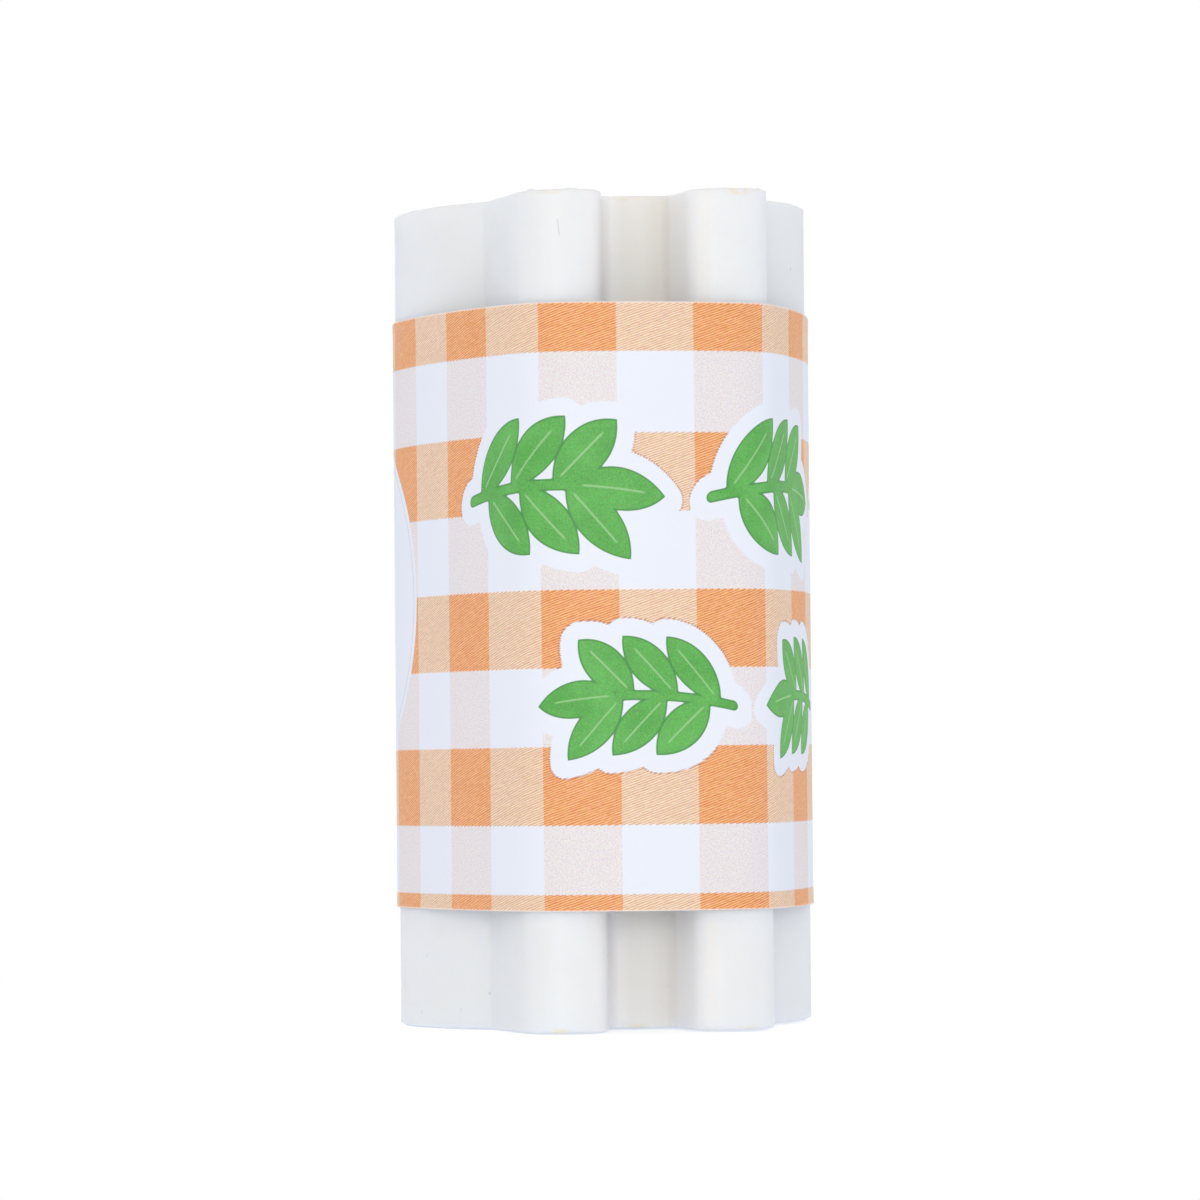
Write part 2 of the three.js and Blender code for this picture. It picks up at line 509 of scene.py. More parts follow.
def circleRound(centre, radius, headCircleRadius, largeRadius):  # centre of a large circle round both
    toCentre = largeRadius - radius
    toHead = largeRadius - headCircleRadius
    along = (toHead ** 2 - toCentre ** 2 + centre.length_squared) / (2 * centre.length)
    direction = centre.normalized()
    aside = Vector((direction.y, -direction.x))
    return direction * along + aside * math.sqrt(toHead ** 2 - along ** 2)


def angleTo(centre, point):
    return math.atan2(point.y - centre.y, point.x - centre.x)


def sleeveRoute():  # along the middle of the paper, from its hidden edge in the seam to its free edge
    middle = Vector((0, 0))
    spacing = sleeve["pointSpacing"]
    depth = sleeve["layer"] / 2
    foldX = bar["earSpacing"] / 2 - sleeve["foldInset"]
    corners = [tipCorner(1, bar["earOuterTipRadius"]), tipCorner(-1, bar["earInnerTipRadius"])]
    resting = max(abs(corner.x - foldX) + radius for corner, radius in corners) + sleeve["shoulderEase"]
    foldY = min(
        corner.y + math.sqrt((resting - radius) ** 2 - (corner.x - foldX) ** 2)
        for corner, radius in corners
    )
    foldCentre = Vector((foldX, foldY))
    foldRadius = resting + sleeve["clearance"]
    wrapRadius = bar["headRadius"] + sleeve["clearance"]
    bow = sleeve["frontBow"]
    bowRadius = foldRadius + (foldX ** 2 / bow + bow) / 2
    bowCentre = Vector((0, foldCentre.y - foldRadius - bow + bowRadius))
    foldAngle = angleTo(bowCentre, foldCentre)
    flankCentre = circleRound(foldCentre, foldRadius, wrapRadius, sleeve["flankRadius"])
    shoulderAngle = angleTo(flankCentre, foldCentre)
    cheekAngle = angleTo(flankCentre, middle)

    lapAngle = sleeve["lapLength"] / 2 / wrapRadius
    startAngle = back - lapAngle
    flapAngle = back + lapAngle
    climbAngle = startAngle - sleeve["lapClimb"] / wrapRadius
    acrossEar = [
        *arc(bowCentre, bowRadius + depth, front, foldAngle, spacing),
        *arc(foldCentre, foldRadius + depth, foldAngle, shoulderAngle, spacing / 2),
        *arc(flankCentre, sleeve["flankRadius"] + depth, shoulderAngle, cheekAngle, spacing),
    ]
    climb = []
    for i in range(sleeve["climbSteps"]):
        share = (i + 1) / sleeve["climbSteps"]
        lift = sleeve["layer"] * share * share * (3 - 2 * share)
        angle = climbAngle + (startAngle - climbAngle) * share
        climb.append(pointOnCircle(middle, wrapRadius + depth + lift, angle))
    rightHalf = [
        *acrossEar,
        *arc(middle, wrapRadius + depth, cheekAngle, climbAngle, spacing),
        *climb,
        *arc(middle, wrapRadius + depth + sleeve["layer"], startAngle, flapAngle, spacing),
    ]
    leftHalf = [
        *acrossEar,
        *arc(middle, wrapRadius + depth, cheekAngle, flapAngle, spacing),
    ]
    return withStraightsFilled(mirroredPoints(leftHalf) + rightHalf, spacing, closed=False)


def lengthsFromFront(points):  # how far each point lies from the middle of the front, to the right
    lengths = [0.0]
    for start, end in zip(points, points[1:]):
        lengths.append(lengths[-1] + (end - start).length)
    inFront = [i for i, point in enumerate(points) if point.y < 0]
    nearest = min(inFront, key=lambda i: abs(points[i].x))
    return [length - lengths[nearest] for length in lengths]


def sleeveTree():
    inputs = {
        "Geometry": ["Route"],
        "Float": ["Bottom", "Height", "Thickness", "Wave", "Flare", "Flap Lift", "Free Edge", "Seed"],
        "Int": ["Rows"],
        "Material": ["Printed Face", "Bare Face", "Cut Edge"],
    }
    outputs = {"Geometry": ["Geometry"]}
    tree, inside, outside = newGroup("paperSleeveShape", "GeometryNodeTree", inputs, outputs)

    # An upright line is swept along the route, which makes the sheet
    position = addNode(tree, "GeometryNodeInputPosition").outputs[0]
    route = stored(inside["Route"], "place", position)
    routeCurve = addNode(tree, "GeometryNodeMeshToCurve", route)
    upright = addNode(tree, "GeometryNodeCurvePrimitiveLine")
    uprightPoints = addNode(tree, "GeometryNodeResampleCurve", upright.outputs[0])
    feed(uprightPoints.inputs["Count"], inside["Rows"])
    share = addNode(tree, "GeometryNodeSplineParameter").outputs[0]
    profile = stored(uprightPoints.outputs[0], "rise", share, "FLOAT")
    sheet = addNode(tree, "GeometryNodeCurveToMesh", routeCurve.outputs[0], profile)

    place = recalled(tree, "place")
    outward = recalled(tree, "outward")
    along = recalled(tree, "along", "FLOAT")
    height = times(recalled(tree, "rise", "FLOAT"), inside["Height"])

    # It stands off a little in slow waves, at its cut edges and at the corners of the seam's free edge
    onPaper = joined(along, height, 0.0)
    wave = noise(onPaper, sleeve["waveSize"] * mm, 1.0, inside["Seed"])
    wave = times(inside["Wave"], wave)
    toEdge = calc("MINIMUM", height, minus(inside["Height"], height))
    uneven = noise(onPaper, sleeve["flareSize"] * mm, 1.0, plus(inside["Seed"], 3.0))
    atEdge = fade(toEdge, sleeve["flareReach"] * mm, 0.0)
    flare = times(inside["Flare"], times(uneven, atEdge))
    toFreeEdge = minus(inside["Free Edge"], along)
    middle = sleeve["flapMiddle"]
    atCorner = fade(toEdge, sleeve["flapCorner"] * mm, 0.0, 0.0, 1 - middle)
    atCorner = plus(middle, atCorner)
    lifted = times(atCorner, fade(toFreeEdge, sleeve["flapReach"] * mm, 0.0))
    flap = times(inside["Flap Lift"], lifted)
    halfThickness = times(inside["Thickness"], 0.5)
    off = minus(plus(wave, flare, flap), halfThickness)
    level = plus(height, inside["Bottom"])
    innerPlace = vectorCalc("ADD", place, scaled(outward, off))
    innerPlace = movedUp(innerPlace, level)
    innerFace = addNode(tree, "GeometryNodeSetPosition", sheet.outputs[0], None, innerPlace)
    printed = stored(innerFace.outputs[0], "onPaper", onPaper)

    # It gets its thickness, and its two faces and its cut edge get their materials
    thick = addNode(tree, "GeometryNodeExtrudeMesh", printed, None, outward, inside["Thickness"], False)
    underside = addNode(tree, "GeometryNodeFlipFaces", printed)
    bare = withMaterial(underside.outputs[0], None, inside["Bare Face"])
    outer = withMaterial(thick.outputs["Mesh"], thick.outputs["Top"], inside["Printed Face"])
    edged = withMaterial(outer, thick.outputs["Side"], inside["Cut Edge"])
    together = tree.nodes.new("GeometryNodeJoinGeometry")
    tree.links.new(bare, together.inputs[0])
    tree.links.new(edged, together.inputs[0])
    feed(outside[0], merged(together.outputs[0]))
    return tree


def makeSleeve():
    route = sleeveRoute()
    lengths = [length * mm for length in lengthsFromFront(route)]
    plan = planMesh("sleeveRoute", route, closed=False, along=lengths)
    piece = madeByNodes("printed_sleeve", plan, sleeveTree(), {
        "Bottom": sleeve["bottom"] * mm,
        "Height": sleeve["height"] * mm,
        "Thickness": sleeve["thickness"] * mm,
        "Wave": sleeve["wave"] * mm,
        "Flare": sleeve["flare"] * mm,
        "Flap Lift": sleeve["flapLift"] * mm,
        "Free Edge": lengths[-1],
        "Rows": sleeve["rows"],
        "Seed": sleeve["seed"],
        "Printed Face": printedMaterial(),
        "Bare Face": barePaperMaterial("unprinted_paper", 0.0),
        "Cut Edge": barePaperMaterial("cut_paper_edge", 1.0),
    })
    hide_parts("paper_sleeve")
    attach(piece, "sleeve")
    print("paper sleeve:", len(piece.data.vertices), "points, print from", lengths[0], "to", lengths[-1])


# Effects that more than one material uses

def fineGrainGroup():  # the tooth of a matt surface, with slow mottling under it
    inputs = {"Vector": ["Place"], "Float": ["Size", "Seed"]}
    outputs = {"Float": ["Grain", "Mottling"]}
    tree, inside, outside = newGroup("fineGrain", "ShaderNodeTree", inputs, outputs)
    place = scaled(inside["Place"], calc("DIVIDE", 1.0, inside["Size"]))
    feed(outside["Grain"], noise(place, 1.0, 3.0, inside["Seed"]))
    feed(outside["Mottling"], noise(place, 24.0, seed=inside["Seed"]))
    return tree


def dustGroup():  # a few small dark specks
    inputs = {"Vector": ["Place"], "Float": ["Spacing", "Size", "Share"]}
    tree, inside, outside = newGroup("dustSpecks", "ShaderNodeTree", inputs, {"Float": ["Specks"]})
    place = scaled(inside["Place"], calc("DIVIDE", 1.0, inside["Spacing"]))
    cells = addNode(tree, "ShaderNodeTexVoronoi", place)
    feed(cells.inputs["Scale"], 1.0)
    apart = times(cells.outputs["Distance"], inside["Spacing"])
    chance = parts(cells.outputs["Color"])[0]
    here = calc("LESS_THAN", chance, inside["Share"])
    feed(outside["Specks"], times(here, fade(apart, inside["Size"], 0.0)))
    return tree


grainGroup = fineGrainGroup()
specksGroup = dustGroup()


def newMaterial(name):
    material = bpy.data.materials.new(name)
    material.use_nodes = True
    tree = material.node_tree
    return material, tree, tree.nodes["Principled BSDF"]


def raised(height, strength, distance):  # a bump whose full height is distance in millimetres
    node = addNode(height.id_data, "ShaderNodeBump")
    node.inputs["Strength"].default_value = strength
    node.inputs["Distance"].default_value = distance * mm
    feed(node.inputs["Height"], height)
    return node.outputs[0]


# The vinyl

vinyl = {
    "colour": colour(239, 241, 241),
    "mottleColour": colour(236, 236, 231),
    "mottling": 0.3,
    "cutFaceColour": colour(239, 240, 238),
    "gapBounceLight": colour(241, 239, 234),  # painted light: a warm tint on the crown between the ears, for the light bounced within the gap
    "hollowWidth": (5.0, 3.3),  # from the middle: where that starts, and where it is full
    "hollowDepth": (-11.0, -15.0),  # along Y, from start to full, like the pairs below
    "creaseShadeColour": colour(236, 233, 227),  # painted shade, in the crease beside the right ear's root
    "creasePlace": (0.4, 1.8),  # along X
    "flankLightColour": colour(252, 250, 247),  # painted light, lighter on the shaded inner flanks of the ears and beside the left ear's root
    "flankDepth": (-15.2, -16.2),
    "leftRoot": (-0.6, -2.2),  # along X
    "cutColour": colour(240, 226, 200),
    "traces": (-6.9, -0.4, 6.6),  # where oil and handling have yellowed the cut edges, along X
    "traceWidth": 1.3,
    "traceHeight": (0.6, 0.15),  # from the cut
    "blotchSize": 0.8,  # of the blotches in them
    "speckColour": colour(120, 122, 124),
    "speckSpacing": 1.8,
    "speckSize": 0.19,
    "speckShare": 0.32,
    "markStrength": 0.55,  # of the specks and the scratch
    "grainSize": 0.16,
    "dieLines": ((1.0, 1.0, 0.015), 0.5),  # stretch and size of the faint lines along the sides
    "knifeLines": ((0.04, 1.0, 1.0), 0.45),  # the same for the marks across the two cut faces
    "reliefDepth": 0.045,
    "roughness": (0.41, 0.54),
    "cutRoughness": 0.3,  # how much rougher the cut faces are
    "scratch": (-6.5, 57.9),  # x and height of the top of a hair-thin scratch on the left ear
    "scratchLean": 0.1,
    "scratchLength": 1.5,
    "scratchHalfWidth": 0.035,
    "scratchedSide": -19.0,  # it lies in front of this y
}


def vinylMaterial():
    material, tree, shader = newMaterial("white_vinyl_rubber")
    place = scaled(addNode(tree, "ShaderNodeTexCoord").outputs["Object"], 1 / mm)
    x, y, z = parts(place)
    grain = placeGroup(tree, grainGroup, Place=place, Size=vinyl["grainSize"], Seed=2.0)

    # Where the surface is a cut face, where it lies between the ears and gets painted light and shade,
    # and where the cut edge is stained
    normal = addNode(tree, "ShaderNodeNewGeometry").outputs["Normal"]
    onCut = fade(calc("ABSOLUTE", parts(normal)[2]), 0.6, 0.95)
    inMiddle = fade(calc("ABSOLUTE", x), *vinyl["hollowWidth"])
    inFront = fade(y, *vinyl["hollowDepth"])
    # the crown between the ears gets a painted warm tint of bounce light
    betweenEars = times(inMiddle, inFront, minus(1.0, onCut))
    # painted shade: darker in the crease beside the right ear's root
    crease = times(betweenEars, fade(x, *vinyl["creasePlace"]))
    # painted light: lighter on the shaded inner flanks and beside the left ear's root
    atRoot = fade(x, *vinyl["leftRoot"])
    sheltered = calc("MAXIMUM", fade(y, *vinyl["flankDepth"]), atRoot)
    flankLight = times(betweenEars, sheltered)
    toCut = calc("MINIMUM", z, minus(bar["length"], z))
    toTrace = [calc("ABSOLUTE", minus(x, trace)) for trace in vinyl["traces"]]
    nearest = calc("MINIMUM", calc("MINIMUM", toTrace[0], toTrace[1]), toTrace[2])
    stain = fade(noise(place, vinyl["blotchSize"], seed=5.0), 0.36, 0.56)
    stain = times(stain, fade(nearest, vinyl["traceWidth"], 0.0))
    stain = times(stain, minus(calc("LESS_THAN", y, 0.0), onCut))
    cutTrace = times(stain, fade(toCut, *vinyl["traceHeight"], 0.0, 0.95))
    mottled = fade(grain["Mottling"], 0.3, 0.7, 0.0, vinyl["mottling"])

    # the crown's warm tint, the crease's darker colour and the flanks' lighter colour are painted light
    # and shade
    tints = [(mottled, "mottleColour"), (onCut, "cutFaceColour"), (betweenEars, "gapBounceLight"),
             (crease, "creaseShadeColour"), (flankLight, "flankLightColour"), (cutTrace, "cutColour")]
    base = vinyl["colour"]
    for share, tint in tints:
        base = mixColour(share, base, vinyl[tint])

    # Dust specks and the scratch
    specks = placeGroup(tree, specksGroup, Place=place, Spacing=vinyl["speckSpacing"],
                        Size=vinyl["speckSize"], Share=vinyl["speckShare"])["Specks"]
    scratchX, scratchTop = vinyl["scratch"]
    belowTop = minus(scratchTop, z)
    offScratch = minus(minus(x, scratchX), times(belowTop, vinyl["scratchLean"]))
    scratch = fade(calc("ABSOLUTE", offScratch), vinyl["scratchHalfWidth"], 0.0, 0.0, 0.8)
    lowEnd = fade(belowTop, vinyl["scratchLength"], vinyl["scratchLength"] - 0.4)
    scratch = times(scratch, fade(belowTop, 0.0, 0.3), lowEnd)
    scratch = times(scratch, calc("LESS_THAN", y, vinyl["scratchedSide"]))
    marks = calc("MAXIMUM", specks, scratch)
    base = mixColour(times(marks, vinyl["markStrength"]), base, vinyl["speckColour"])
    feed(shader.inputs["Base Color"], base)

    # The relief of the lines and of the vinyl's tooth
    def lineRelief(name, seed):
        stretch, size = vinyl[name]
        return noise(vectorCalc("MULTIPLY", place, stretch), size, 3.0, seed)

    lines = mixValue(onCut, lineRelief("dieLines", 8.0), lineRelief("knifeLines", 9.0))
    relief = plus(times(lines, 0.6), times(grain["Grain"], 0.4))
    relief = minus(relief, times(marks, 0.8))
    feed(shader.inputs["Normal"], raised(relief, 0.7, vinyl["reliefDepth"]))
    dull = fade(grain["Mottling"], 0.2, 0.8, *vinyl["roughness"])
    feed(shader.inputs["Roughness"], plus(dull, times(onCut, vinyl["cutRoughness"])))
    shader.inputs["IOR"].default_value = 1.5
    shader.inputs["Subsurface Weight"].default_value = 0.7
    shader.inputs["Subsurface Radius"].default_value = (1.0, 0.9, 0.75)
    shader.inputs["Subsurface Scale"].default_value = 2 * mm
    return material


# The print on the paper

ink = {
    "paper": colour(239, 243, 251),
    "pinkShade": colour(229, 221, 218),
    "pinkTint": colour(245, 239, 240),
    "lightShade": colour(221, 179, 142),
    "lightTint": colour(255, 227, 200),
    "deepShade": colour(222, 136, 62),
    "deepTint": colour(255, 194, 143),
    "leaf": colour(104, 185, 90),
    "leafShade": colour(83, 166, 70),
    "leafRim": colour(72, 142, 72),
    "leafRib": colour(158, 212, 144),
    "clothRim": colour(176, 104, 70),  # where the orange ink ends at a sprig's border
    "ring": colour(214, 219, 227),
    "cutFibre": colour(250, 238, 232),
    "dotSize": 0.16,
    "dotStrength": 0.55,
    "dotsOnWhite": 0.2,  # share of that strength on the white paper
    "grainSize": 0.11,
    "flakeWidth": 0.07,
}

cloth = {
    "columnWidth": 5.565,
    "columnStart": -2.4,  # a wide dark column ends here, counted from the middle of the front
    "rowHeight": 5.555,
    "topStrip": 3.5,  # height of the row that the paper's upper edge cuts through
    "bottomStrip": 1.19,
    "firstRow": 9.28,  # from the upper edge down to the first whole row
    "printSlant": 0.003,  # the rows rise to the right of the paper's cut edges
    "toothWidth": 0.49,
    "toothHeight": 0.1,
    "threadPitch": 0.172,  # measured straight up
    "threadSlope": 0.353,
    "threadWander": 0.9,  # how far they stray, in threads
    "wanderSize": 1.1,
    "inking": (0.15, 0.9),  # how strongly they show, at least and at most
    "inkingSize": 0.42,
    "inkingStretch": 4.0,  # how much longer than wide the spots of weak and strong ink are
}

leaves = {
    "rowCentres": (38.6, 23.7),  # heights on the bar
    "pitch": 19.8,  # from one sprig to the next in its row
    "firstSprigs": (-7.3, -1.3),  # the middle of each row's first one, from the middle of the front
    "sizes": (1.0, 0.86),  # of each row's sprigs
    "sprigs": (3, 2),  # how many each row has
    "leafLength": 6.7,
    "leafWidth": 3.1,
    "leafTurn": math.radians(47),
    "pairs": 3,
    "pairStep": 3.65,
    "firstPair": 0.3,  # where the first pair stands on the stem, in such steps
    "stagger": 0.25,  # how much further along the other leaf of a pair stands, in steps
    "stemSteps": 2.65,
    "joinSoftness": 0.25,
    "stemHalfWidth": 0.42,
    "stemBow": 0.9,
    "whiteBorder": 1.25,
    "borderTooth": 0.09,  # how far the cloth's threads reach into it
    "rimWidth": 0.13,
}

roundel = {
    "radius": 11.8,
    "centre": (-36.8, 31.4, 0.0),  # along the paper and up the bar
    "ringRadius": 11.2,
    "ringWidth": 0.12,
}


def ginghamGroup():  # where the dark columns and the orange rows of the checked cloth lie
    inputs = {"Float": ["Along", "Down"]}
    outputs = {"Float": ["Column", "Row"]}
    tree, inside, outside = newGroup("ginghamChecks", "ShaderNodeTree", inputs, outputs)

    def stripes(place, start, width, turn):  # every second one, on the side of start that turn gives
        phase = calc("DIVIDE", minus(place, start), 2 * width)
        return fade(calc("SINE", times(phase, turn * 2 * math.pi)), -0.02, 0.02)

    columns = stripes(inside["Along"], cloth["columnStart"], cloth["columnWidth"], -1)
    feed(outside["Column"], columns)

    # The edges of the rows are toothed where the slanting threads end
    tooth = calc("FRACT", calc("DIVIDE", inside["Along"], cloth["toothWidth"]))
    shift = times(minus(tooth, 0.5), cloth["toothHeight"])
    down = plus(inside["Down"], shift)
    lowest = sleeve["height"] - cloth["bottomStrip"]
    margin = cloth["rowHeight"] / 2
    belowStrip = calc("GREATER_THAN", down, cloth["topStrip"] + margin)
    aboveStrip = calc("LESS_THAN", down, lowest - margin)
    rows = stripes(down, cloth["firstRow"], cloth["rowHeight"], 1)
    rows = times(rows, belowStrip, aboveStrip)
    topStrip = within(down, cloth["topStrip"])
    bottomStrip = within(minus(lowest, down), 0.0)
    strips = calc("MAXIMUM", topStrip, bottomStrip)
    feed(outside["Row"], calc("MAXIMUM", rows, strips))
    return tree


def twillGroup():  # slanting threads, from 0 in the furrows to 1 on the ridges, uneven along their length
    inputs = {"Float": ["Along", "Up"]}
    tree, inside, outside = newGroup("twillThreads", "ShaderNodeTree", inputs, {"Float": ["Threads"]})
    slant = minus(inside["Up"], times(inside["Along"], cloth["threadSlope"]))
    threadPlace = joined(inside["Along"], times(slant, cloth["inkingStretch"]))
    wander = times(noise(threadPlace, cloth["wanderSize"], seed=1.0), cloth["threadWander"])
    turns = plus(calc("DIVIDE", slant, cloth["threadPitch"]), wander)
    wave = calc("SINE", times(turns, 2 * math.pi))
    inking = noise(threadPlace, cloth["inkingSize"], seed=3.0)
    strength = fade(inking, 0.32, 0.68, *cloth["inking"])
    feed(outside["Threads"], plus(0.5, times(wave, strength)))
    return tree


def leafGroup():  # distance from a leaf's outline, negative inside, and the place of its rib
    inputs = {"Vector": ["Place", "Foot"], "Float": ["Turn"]}
    outputs = {"Float": ["Distance", "Rib"]}
    tree, inside, outside = newGroup("leafShape", "ShaderNodeTree", inputs, outputs)
    halfLength = leaves["leafLength"] / 2
    halfWidth = leaves["leafWidth"] / 2
    offset = (halfLength ** 2 - halfWidth ** 2) / (2 * halfWidth)  # of each side's centre from the axis
    fromFoot = vectorCalc("SUBTRACT", inside["Place"], inside["Foot"])
    turned = addNode(tree, "ShaderNodeVectorRotate", fromFoot, rotation_type="Z_AXIS")
    feed(turned.inputs["Angle"], times(inside["Turn"], -1.0))
    lengthwise, sideways, _ = parts(turned.outputs[0])
    lengthwise = minus(lengthwise, halfLength)
    sideways = calc("ABSOLUTE", sideways)
    toEnd = calc("ABSOLUTE", lengthwise)
    pastEnd = minus(toEnd, halfLength)
    pastTip = calc("GREATER_THAN", times(pastEnd, offset), times(sideways, halfLength))
    tipDistance = lengthOf(joined(pastEnd, sideways))
    sideDistance = lengthOf(joined(toEnd, plus(sideways, offset)))
    sideDistance = minus(sideDistance, offset + halfWidth)
    feed(outside["Distance"], mixValue(pastTip, sideDistance, tipDistance))
    ribEnd = fade(lengthwise, halfLength * 0.62, halfLength * 0.5)
    ribFoot = fade(lengthwise, -halfLength * 0.8, -halfLength * 0.7)
    feed(outside["Rib"], times(fade(sideways, 0.11, 0.05), ribEnd, ribFoot))
    return tree


def sprigGroup():  # a twig with leaves in pairs and one at its end, round its own middle
    outputs = {"Float": ["Distance", "Rib"]}
    tree, inside, outside = newGroup("leafSprig", "ShaderNodeTree", {"Vector": ["Place"]}, outputs)
    leaf = leafGroup()
    x, y, _ = parts(inside["Place"])
    stemLength = leaves["stemSteps"] * leaves["pairStep"]
    halfLength = (stemLength + leaves["leafLength"]) / 2
    share = calc("DIVIDE", x, halfLength)
    bow = times(share, share, leaves["stemBow"])
    level = plus(minus(y, leaves["stemBow"] / 3), bow)
    place = joined(plus(x, halfLength), level)
    overStem = calc("MINIMUM", calc("MAXIMUM", parts(place)[0], 0.0), stemLength)
    toStem = lengthOf(vectorCalc("SUBTRACT", place, joined(overStem, 0.0)))
    distance = minus(toStem, leaves["stemHalfWidth"])
    rib = 0.0
    feet = [(stemLength, 0.0)]
    for i in range(leaves["pairs"]):
        foot = (i + leaves["firstPair"]) * leaves["pairStep"]
        otherFoot = foot + leaves["stagger"] * leaves["pairStep"]
        feet += [(foot, leaves["leafTurn"]), (otherFoot, -leaves["leafTurn"])]
    for foot, turn in feet:
        found = placeGroup(tree, leaf, Place=place, Foot=(foot, 0.0, 0.0), Turn=turn)
        distance = calc("SMOOTH_MIN", distance, found["Distance"], leaves["joinSoftness"])
        rib = calc("MAXIMUM", rib, found["Rib"])
    feed(outside["Distance"], distance)
    feed(outside["Rib"], rib)
    return tree


def sprigPlace(along, height):  # the place in the nearest sprig, and that sprig's size
    inLower = calc("LESS_THAN", height, sum(leaves["rowCentres"]) / 2)

    def ofRow(name):
        upper, lower = leaves[name]
        return plus(upper, times(inLower, lower - upper))

    size = ofRow("sizes")
    pitch = times(size, leaves["pitch"])
    steps = calc("DIVIDE", minus(along, ofRow("firstSprigs")), pitch)
    last = minus(ofRow("sprigs"), 1.0)
    number = calc("MINIMUM", calc("MAXIMUM", calc("ROUND", steps), 0.0), last)
    across = times(minus(steps, number), leaves["pitch"])
    facing = minus(1.0, times(inLower, 2.0))  # the lower row points the other way
    level = calc("DIVIDE", minus(height, ofRow("rowCentres")), size)
    return joined(times(across, facing), level), size


def printedMaterial():
    material, tree, shader = newMaterial("printed_gingham_paper")
    onPaper = addNode(tree, "ShaderNodeAttribute", attribute_name="onPaper").outputs["Vector"]
    onPaper = scaled(onPaper, 1 / mm)
    along, up, _ = parts(onPaper)
    height = plus(up, sleeve["bottom"])
    down = minus(sleeve["height"], up)
    slantedDown = plus(down, times(along, cloth["printSlant"]))
    slantedAlong = plus(along, times(up, cloth["printSlant"]))
    checks = placeGroup(tree, ginghamGroup(), Along=slantedAlong, Down=slantedDown)
    threads = placeGroup(tree, twillGroup(), Along=along, Up=up)["Threads"]
    grain = placeGroup(tree, grainGroup, Place=onPaper, Size=ink["grainSize"], Seed=6.0)
    dots = addNode(tree, "ShaderNodeTexNoise", onPaper)  # colours for the printing dots, at random
    feed(dots.inputs["Scale"], 1 / ink["dotSize"])

    def dotted(under, share=1.0):
        strength = ink["dotStrength"] * share
        return mixColour(strength, under, dots.outputs["Color"], "SOFT_LIGHT")

    # The checked cloth
    white = dotted(ink["paper"], ink["dotsOnWhite"])
    pink = mixColour(fade(grain["Grain"], 0.35, 0.65), ink["pinkShade"], ink["pinkTint"])
    whiteRow = mixColour(checks["Column"], white, dotted(pink))
    light = mixColour(threads, ink["lightShade"], ink["lightTint"])
    deep = mixColour(threads, ink["deepShade"], ink["deepTint"])
    orangeRow = dotted(mixColour(checks["Column"], light, deep))
    base = mixColour(checks["Row"], whiteRow, orangeRow)

    # The white roundel, with a thin ring inside its edge
    fromCentre = vectorCalc("SUBTRACT", joined(along, height), roundel["centre"])
    fromCentre = lengthOf(fromCentre)
    base = mixColour(within(fromCentre, roundel["radius"], 0.04), base, white)
    toRing = calc("ABSOLUTE", minus(fromCentre, roundel["ringRadius"]))
    base = mixColour(within(toRing, roundel["ringWidth"] / 2), base, ink["ring"])

    # The sprigs, each in a white border
    place, size = sprigPlace(along, height)
    sprig = placeGroup(tree, sprigGroup(), Place=place)
    toLeaf = times(sprig["Distance"], size)
    ragged = times(minus(threads, 0.5), leaves["borderTooth"])
    toBorder = minus(plus(toLeaf, ragged), leaves["whiteBorder"])
    clothRim = times(checks["Row"], fade(toBorder, 0.15, 0.04, 0.0, 0.6))
    base = mixColour(clothRim, base, ink["clothRim"])
    base = mixColour(within(toBorder, 0.0, 0.04), base, white)
    shading = times(plus(grain["Mottling"], grain["Grain"]), 0.5)
    green = dotted(mixColour(fade(shading, 0.36, 0.6), ink["leafShade"], ink["leaf"]))
    green = mixColour(times(sprig["Rib"], 0.7), green, ink["leafRib"])
    inRim = fade(toLeaf, -leaves["rimWidth"] - 0.03, -leaves["rimWidth"] + 0.05, 0.0, 0.8)
    green = mixColour(inRim, green, ink["leafRim"])
    base = mixColour(within(toLeaf, 0.0), base, green)

    # The ink has flaked off along the cut edges
    toEdge = calc("MINIMUM", up, down)
    uneven = plus(grain["Grain"], minus(1.0, threads))
    flakeWidth = times(uneven, ink["flakeWidth"])
    flaked = within(minus(toEdge, flakeWidth), 0.0)
    base = mixColour(times(flaked, 0.8), base, ink["cutFibre"])
    feed(shader.inputs["Base Color"], base)

    fibres = noise(vectorCalc("MULTIPLY", onPaper, (0.45, 1.0, 1.0)), 0.25, 4.0, 12.0)
    feed(shader.inputs["Normal"], raised(fibres, 0.5, 0.02))
    feed(shader.inputs["Roughness"], fade(grain["Mottling"], 0.2, 0.8, 0.52, 0.62))
    shader.inputs["IOR"].default_value = 1.45
    return material


def barePaperMaterial(name, fibrous):
    material, tree, shader = newMaterial(name)
    place = scaled(addNode(tree, "ShaderNodeTexCoord").outputs["Object"], 1 / mm)
    grain = placeGroup(tree, grainGroup, Place=place, Size=0.14, Seed=14.0)
    shade = mixColour(fade(grain["Grain"], 0.3, 0.7), ink["paper"], ink["cutFibre"])
    base = mixColour(0.25 + 0.5 * fibrous, ink["paper"], shade)
    feed(shader.inputs["Base Color"], base)
    feed(shader.inputs["Normal"], raised(grain["Grain"], 0.5 + 0.4 * fibrous, 0.03))
    feed(shader.inputs["Roughness"], fade(grain["Mottling"], 0.2, 0.8, 0.7, 0.85))
    return material


# Table, light and camera

